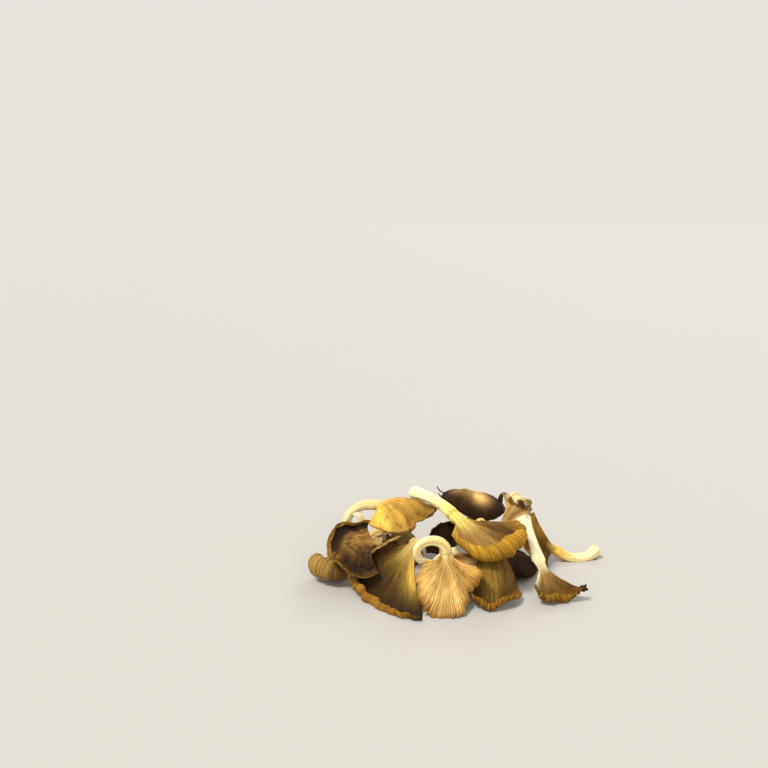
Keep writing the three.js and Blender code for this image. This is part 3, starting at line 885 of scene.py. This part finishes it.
def cap_side(m, u, s, seed, gills, upper):
    """One side of the cap: its points and colours."""
    look = LOOKS[m["name"]]
    middle, normal = cap_flesh(m, u, s, seed)
    edge = round_off((1 - s) * m["reach"] / EDGE_WIDTH)[:, None]
    side = round_off((1 - np.abs(2 * u - 1)) / SIDE_WIDTH)
    half = 0.5 * FLESH * (1 - RIM_THINNING * ease(s))[:, None] * edge * side
    rows = s[:, None] * np.ones((1, len(u)))
    columns = np.ones((len(s), 1)) * u
    if upper:
        radial, ringed = look.get("wrinkles", PLAIN_WRINKLES)
        crease = radial * pattern("radial_creases", columns, rows, seed)
        crease = crease + ringed * pattern("ringed_creases", columns, rows, seed)
        height = half + crease * edge * side * ease(s / CREASE_GROWTH)[:, None]
        return middle + normal * height[..., None], top_colour(look, columns, rows, crease, seed)
    ridge = gill_pattern(u, s, gills, seed)
    relief = look["relief"] * (ridge - GILL_MIDDLE) * edge * side * ease(s / RELIEF_GROWTH)[:, None]
    return middle - normal * (half + relief)[..., None], gill_colour(look, columns, rows, ridge, seed)


def stem_end(m, up, down, ring, ahead, u, seed):
    """The stem's rounded, ragged end: a few rings, outermost first, and the point that closes it."""
    centre = 0.5 * (up[0].mean(0) + down[0].mean(0))
    radius = m["stem"]["radius"][-1]
    ragged = pattern("base_rag", np.cos(2 * math.pi * u), np.sin(2 * math.pi * u), seed)
    rings = []
    for out, width in reversed(BASE_STEPS):
        push = ahead * (out * radius * BASE_BULGE) + ahead * (ragged * (BASE_RAG_WIDTH - width))[:, None]
        rings.append(centre + (ring[0] - centre) * width + push)
    return rings, centre + ahead * radius * BASE_HOLLOW


def mushroom_side(m, u, s, t, seed, gills, upper):
    """One side of a whole mushroom, from the stem's end to the rim: points and colours, row by row."""
    cap, cap_tint = cap_side(m, u, s, seed, gills, upper)
    up, down, forward = stem_rings(m, t, u, seed)
    ring = up if upper else down
    weight = ease(s / NECK_BLEND)[:, None, None]
    cap = (1 - weight) * ring[-1] + weight * cap
    ends, base = stem_end(m, up, down, ring, forward[0], u, seed)

    t_all = np.concatenate([np.ones(len(BASE_STEPS)), t])
    half_way = u * 0.5 if upper else 1 - u * 0.5
    around = np.ones((len(t_all), 1)) * half_way
    stem_tint = stem_colour(LOOKS[m["name"]], around, t_all[:, None], seed)
    join = ease((s - JOIN_START) / JOIN_LENGTH)[:, None, None]
    cap_tint = stem_tint[-1] * (1 - join) + cap_tint * join
    return np.concatenate([ends, ring, cap]), np.concatenate([stem_tint, cap_tint]), base


def skin_faces(rows, columns, end):
    """The faces between the rings, the row that joins them to the rim, and the stem's closed end."""
    around = 3 * columns
    index = np.arange(rows * around).reshape(rows, around)
    a = index[:-1]
    d = index[1:]
    faces = np.stack([a, d, np.roll(d, -1, 1), np.roll(a, -1, 1)], -1).reshape(-1, 4).tolist()
    last = index[-1]
    rim = rows * around + np.arange(2 * columns + 1)
    for j in range(columns):
        faces.append((last[j], rim[2 * j], rim[2 * j + 1]))
        faces.append((last[j], rim[2 * j + 1], last[j + 1]))
        faces.append((last[j + 1], rim[2 * j + 1], rim[2 * j + 2]))
    for k in range(2 * columns, 0, -1):
        here = around - k
        faces.append((last[here], rim[k], rim[k - 1], last[(here + 1) % around]))
    for j in range(around):
        faces.append((end, j, (j + 1) % around))
    return faces


def mushroom_mesh(m, seed):
    """Vertices, faces and each vertex's colour and place for one whole mushroom, as one closed skin.

    Every ring runs over the upper side and back along the lower one, which has twice as many
    columns. The last row is the rim, one line that both sides share.
    """
    size = m["size"]
    look = LOOKS[m["name"]]
    arc = (m["fan"][1] - m["fan"][0]) * DEGREE * m["reach"] * max(m["outline"])
    gills = 2 * round(min(MOST_GILLS[size], max(LEAST_GILLS, arc / look.get("pitch", GILL_PITCH))) / 2)
    columns = gills * COLUMNS_PER_GILL // 2
    s = cap_rows(m)
    t = np.linspace(1, 0, STEM_ROWS[size] + 1)
    u_up = np.linspace(0, 1, columns + 1)
    u_low = np.linspace(0, 1, 2 * columns + 1)
    upper, upper_tint, base = mushroom_side(m, u_up, s, t, seed, gills, True)
    lower, lower_tint, _ = mushroom_side(m, u_low, s, t, seed, gills, False)

    # The two sides meet half way along the fan's first and last rays
    for column in (0, -1):
        upper[:, column] = 0.5 * (upper[:, column] + lower[:, column])
        upper_tint[:, column] = 0.5 * (upper_tint[:, column] + lower_tint[:, column])
    back = slice(-2, 0, -1)
    ring = np.concatenate([upper[:-1], lower[:-1, back]], 1)
    tint = np.concatenate([upper_tint[:-1], lower_tint[:-1, back]], 1)
    rows, around = ring.shape[:2]
    ring_u = np.concatenate([u_up, u_low[back]])
    ring_s = np.concatenate([-np.ones(len(BASE_STEPS)), -t, s])[:rows, None]
    ring_side = np.concatenate([np.zeros(columns + 1), np.ones(2 * columns - 1)])
    place = np.stack([np.broadcast_to(part, (rows, around)) for part in (ring_u, ring_s, ring_side)], -1)
    rim_place = np.stack([u_low, np.ones(len(u_low)), np.ones(len(u_low))], -1)
    vertices = np.concatenate([ring.reshape(-1, 3), lower[-1], [base]])
    tints = np.concatenate([tint.reshape(-1, 3), lower_tint[-1], [tint[0].mean(0)]])
    places = np.concatenate([place.reshape(-1, 3), rim_place, [[0.5, -1, 0]]])
    return vertices, skin_faces(rows, columns, len(vertices) - 1), tints, places


def curl_start(m, at, seed):
    """Where a curl grows from: a place on the cap (u, s), or a share of the way down the stem."""
    if isinstance(at, tuple):
        middle, _ = cap_flesh(m, np.array([at[0]]), np.array([at[1]]), seed)
        return middle[0, 0]
    points, _, _ = stem_frames(m)
    return points[round(at * PATH_STEPS)]


def curl_faces(end):
    """The faces of a curl's tube, and of the fans that close it at vertices end and end + 1."""
    index = np.arange(CURL_ROWS * CURL_SIDES).reshape(CURL_ROWS, CURL_SIDES)
    beside = np.roll(index, -1, 1)
    faces = np.stack([index[:-1], beside[:-1], beside[1:], index[1:]], -1).reshape(-1, 4).tolist()
    for j in range(CURL_SIDES):
        faces.append((end, int(beside[0, j]), int(index[0, j])))
        faces.append((end + 1, int(index[-1, j]), int(beside[-1, j])))
    return faces


def curl_mesh(m, curl, seed):
    """A thin tapering curl, thread or torn strip, from inside the flesh to its tip."""
    start = curl_start(m, curl["at"], seed)
    steps = np.array([(0, 0, 0)] + curl["steps"], float)
    t = np.linspace(0, 1, CURL_ROWS)
    middle = start + np.stack([spread(steps[:, k], t) for k in range(3)], -1)
    ahead = unit(np.gradient(middle, axis=0))
    side = np.array(curl.get("across", (0, 1, 0)), float)
    angle = 2 * math.pi * np.arange(CURL_SIDES) / CURL_SIDES
    flatness = curl.get("flatness", 1)
    rings = []
    for k in range(CURL_ROWS):
        side = unit(side - ahead[k] * (side @ ahead[k]))
        over = np.cross(ahead[k], side)
        radius = spread(curl["radius"], t[k]) * (1 + pattern("curl_width", angle, t[k], seed))
        ring = np.cos(angle)[:, None] * side + flatness * np.sin(angle)[:, None] * over
        rings.append(middle[k] + ring * radius[:, None])
    first, last = curl["colours"]
    along = t[:, None] * np.ones((1, CURL_SIDES))
    around = np.ones((CURL_ROWS, 1)) * angle / (2 * math.pi)
    colour = blend_colour(plain_colour(first, along.shape), last, ease(along))
    colour = colour * (1 + pattern("curl_shade", around, along, seed))[..., None]
    place = np.stack([around * CURL_PLACE, -along * CURL_PLACE, np.zeros_like(along)], -1).reshape(-1, 3)
    vertices = np.concatenate([np.concatenate(rings), middle[:1], middle[-1:]])
    tints = np.concatenate([colour.reshape(-1, 3), colour[0, :1], colour[-1, :1]])
    places = np.concatenate([place, place[:1], place[-1:]])
    return vertices, curl_faces(len(vertices) - 2), tints, places


def settle(points, normals):
    """Flesh at the floor is eased up onto it. What faces up stays a little above what faces down."""
    least = FLOOR_CLEARANCE + LEAST_FLESH * np.clip(normals[:, 2], 0, 1)
    height = points[:, 2] - least
    eased = SETTLE * np.exp(np.minimum(height / SETTLE - 1, 0))
    settled = points.copy()
    settled[:, 2] = np.where(height < SETTLE, least + eased, points[:, 2])
    return settled


def add_mesh(name, vertices, faces, tints, places):
    """A smooth mesh in metres, with a tint and a place at each vertex for its material."""
    mesh = bpy.data.meshes.new(name)
    mesh.from_pydata(vertices.tolist(), [], faces)
    normals = np.empty(len(vertices) * 3, np.float32)
    mesh.vertex_normals.foreach_get("vector", normals)
    points = settle(vertices, normals.reshape(-1, 3)) * MM
    mesh.vertices.foreach_set("co", points.astype(np.float32).ravel())
    mesh.update()
    colour = mesh.attributes.new("tint", "FLOAT_COLOR", "POINT")
    rgba = np.concatenate([np.clip(tints, 0, 1), np.ones((len(tints), 1))], 1)
    colour.data.foreach_set("color", rgba.astype(np.float32).ravel())
    place = mesh.attributes.new("place", "FLOAT_VECTOR", "POINT")
    place.data.foreach_set("vector", places.astype(np.float32).ravel())
    mesh.shade_smooth()
    piece = bpy.data.objects.new(name, mesh)
    bpy.context.collection.objects.link(piece)
    return piece


def vector_node(tree, operation, first):
    """A vector step on one input. Its other input is set or linked by the caller."""
    step = tree.nodes.new("ShaderNodeVectorMath")
    step.operation = operation
    tree.links.new(first, step.inputs[0])
    return step


def stretched(tree, vector, scale):
    """A vector with each direction stretched by its own scale."""
    step = vector_node(tree, "MULTIPLY", vector)
    step.inputs[1].default_value = scale
    return step.outputs[0]


def noise_node(tree, vector, scale, detail, roughness=0.6):
    """Random values from 0 to 1 over a vector."""
    texture = tree.nodes.new("ShaderNodeTexNoise")
    texture.inputs["Scale"].default_value = scale
    texture.inputs["Detail"].default_value = detail
    texture.inputs["Roughness"].default_value = roughness
    tree.links.new(vector, texture.inputs["Vector"])
    return texture.outputs["Fac"]


def range_node(tree, value, before, after):
    """A value moved from one range to another, and kept inside it."""
    change = tree.nodes.new("ShaderNodeMapRange")
    for label, number in zip(("From Min", "From Max", "To Min", "To Max"), (*before, *after)):
        change.inputs[label].default_value = number
    tree.links.new(value, change.inputs["Value"])
    return change.outputs["Result"]


def product(tree, first, *others):
    """Values multiplied with each other."""
    for other in others:
        step = tree.nodes.new("ShaderNodeMath")
        step.operation = "MULTIPLY"
        tree.links.new(first, step.inputs[0])
        tree.links.new(other, step.inputs[1])
        first = step.outputs[0]
    return first


def vein_shade(tree, place, coords, strength):
    """Soft dark cracks that run outwards over the cap's upper side, broken into stretches."""
    bend = noise_node(tree, coords, VEIN_BEND_SCALE, detail=2)
    run = vector_node(tree, "ADD", stretched(tree, place, VEIN_SCALE))
    tree.links.new(range_node(tree, bend, (0, 1), VEIN_BEND), run.inputs[1])
    crease = noise_node(tree, run.outputs[0], 1, detail=1, roughness=0.5)
    away = tree.nodes.new("ShaderNodeMath")
    away.operation = "ABSOLUTE"
    tree.links.new(range_node(tree, crease, (0, 1), (-1, 1)), away.inputs[0])
    line = range_node(tree, away.outputs[0], (0, VEIN_WIDTH), (1, 0))
    breaks = noise_node(tree, coords, VEIN_BREAK_SCALE, detail=2)
    broken = range_node(tree, breaks, VEIN_BREAK_RANGE, (0, strength))
    parts = tree.nodes.new("ShaderNodeSeparateXYZ")
    tree.links.new(place, parts.inputs[0])
    on_cap = range_node(tree, parts.outputs["Y"], VEIN_START, (0, 1))
    above = range_node(tree, parts.outputs["Z"], UPPER_SIDE, (1, 0))
    return range_node(tree, product(tree, line, broken, on_cap, above), (0, 1), (1, 0))


def skin_material(name, look):
    """Dried flesh: the painted tint under fine fibres, specks and dark veins, with a leathery bump."""
    material = bpy.data.materials.new(name + "_skin")
    material.use_nodes = True
    tree = material.node_tree
    shader = tree.nodes["Principled BSDF"]
    tint = tree.nodes.new("ShaderNodeAttribute")
    tint.attribute_name = "tint"
    place_node = tree.nodes.new("ShaderNodeAttribute")
    place_node.attribute_name = "place"
    place = place_node.outputs["Vector"]
    coords = tree.nodes.new("ShaderNodeTexCoord").outputs["Object"]

    fibre = noise_node(tree, stretched(tree, place, FIBRE_SCALE), 1, detail=4)
    speck = noise_node(tree, coords, SPECK_SCALE, detail=5, roughness=0.65)
    vein = vein_shade(tree, place, coords, look.get("veins", PLAIN_VEINS))
    pucker = noise_node(tree, stretched(tree, place, PUCKER_SCALE), 1, detail=3)
    grain = range_node(tree, product(tree, fibre, speck), GRAIN_RANGE, GRAIN_SHADE)
    shade = product(tree, grain, vein, range_node(tree, pucker, PUCKER_RANGE, PUCKER_SHADE))
    paint = vector_node(tree, "SCALE", tint.outputs["Color"])
    tree.links.new(shade, paint.inputs["Scale"])
    tree.links.new(paint.outputs[0], shader.inputs["Base Color"])

    gloss = look.get("gloss", PLAIN_GLOSS)
    rough = range_node(tree, speck, SPECK_RANGE, (gloss, gloss + GLOSS_SPREAD))
    tree.links.new(rough, shader.inputs["Roughness"])
    bump = tree.nodes.new("ShaderNodeBump")
    bump.inputs["Strength"].default_value = BUMP_STRENGTH
    bump.inputs["Distance"].default_value = BUMP_HEIGHT
    tree.links.new(shade, bump.inputs["Height"])
    tree.links.new(bump.outputs["Normal"], shader.inputs["Normal"])
    shader.inputs["Specular IOR Level"].default_value = look.get("shine", PLAIN_SHINE)
    return material


def make_mushrooms():
    """Every mushroom in place of its solid, and its curls, all in the mushroom's own material."""
    for number, m in enumerate(MUSHROOMS):
        name = m["name"]
        seed = SEED_STEP * number + FIRST_SEED
        material = skin_material(name, LOOKS[name])
        piece = add_mesh(name + "_fine", *mushroom_mesh(m, seed))
        piece.data.materials.append(material)
        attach(piece, "root")
        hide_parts(name)
        for curl in CURLS.get(name, []):
            sprig = add_mesh(curl["name"], *curl_mesh(m, curl, seed))
            sprig.data.materials.append(material)
            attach(sprig, "root")


def make_camera():
    """The photograph's camera, level from side to side and tipped down."""
    data = bpy.data.cameras.new("camera")
    data.lens = CAMERA_LENS
    data.sensor_width = SENSOR_WIDTH
    data.clip_start = CLIP_START
    camera = bpy.data.objects.new("camera", data)
    camera.location = np.array(CAMERA_PLACE) * MM
    camera.rotation_euler = ((90 - CAMERA_TIP) * DEGREE, 0, 0)
    bpy.context.collection.objects.link(camera)
    bpy.context.scene.camera = camera


def make_floor():
    """A plain pale floor that reaches the horizon."""
    material = bpy.data.materials.new("pale_floor")
    material.use_nodes = True
    shader = material.node_tree.nodes["Principled BSDF"]
    shader.inputs["Base Color"].default_value = (*linear(FLOOR_COLOUR), 1)
    shader.inputs["Roughness"].default_value = FLOOR_ROUGHNESS
    mesh = bpy.data.meshes.new("floor")
    h = FLOOR_SIZE / 2
    mesh.from_pydata([(-h, -h, 0), (h, -h, 0), (h, h, 0), (-h, h, 0)], [], [(0, 1, 2, 3)])
    mesh.materials.append(material)
    floor = bpy.data.objects.new("floor", mesh)
    bpy.context.collection.objects.link(floor)


def add_sun(name, place, power, spread_angle, colour):
    """An even light with soft shadows, shining from a place towards the heap."""
    data = bpy.data.lights.new(name, "SUN")
    data.energy = power
    data.angle = spread_angle * DEGREE
    data.color = colour
    sun = bpy.data.objects.new(name, data)
    flat = math.hypot(place[0], place[1])
    sun.rotation_euler = (math.atan2(flat, place[2]), 0, math.atan2(-place[1], -place[0]) - math.pi / 2)
    bpy.context.collection.objects.link(sun)


def make_lights():
    """The suns, and a pale sky that lights the heap from every side."""
    for sun in SUNS:
        add_sun(*sun)
    world = bpy.data.worlds.new("studio")
    world.use_nodes = True
    background = world.node_tree.nodes["Background"]
    background.inputs["Color"].default_value = SKY_COLOUR
    background.inputs["Strength"].default_value = SKY_STRENGTH
    bpy.context.scene.world = world


make_camera()
make_mushrooms()
make_floor()
make_lights()
bpy.context.scene.view_settings.view_transform = "Standard"
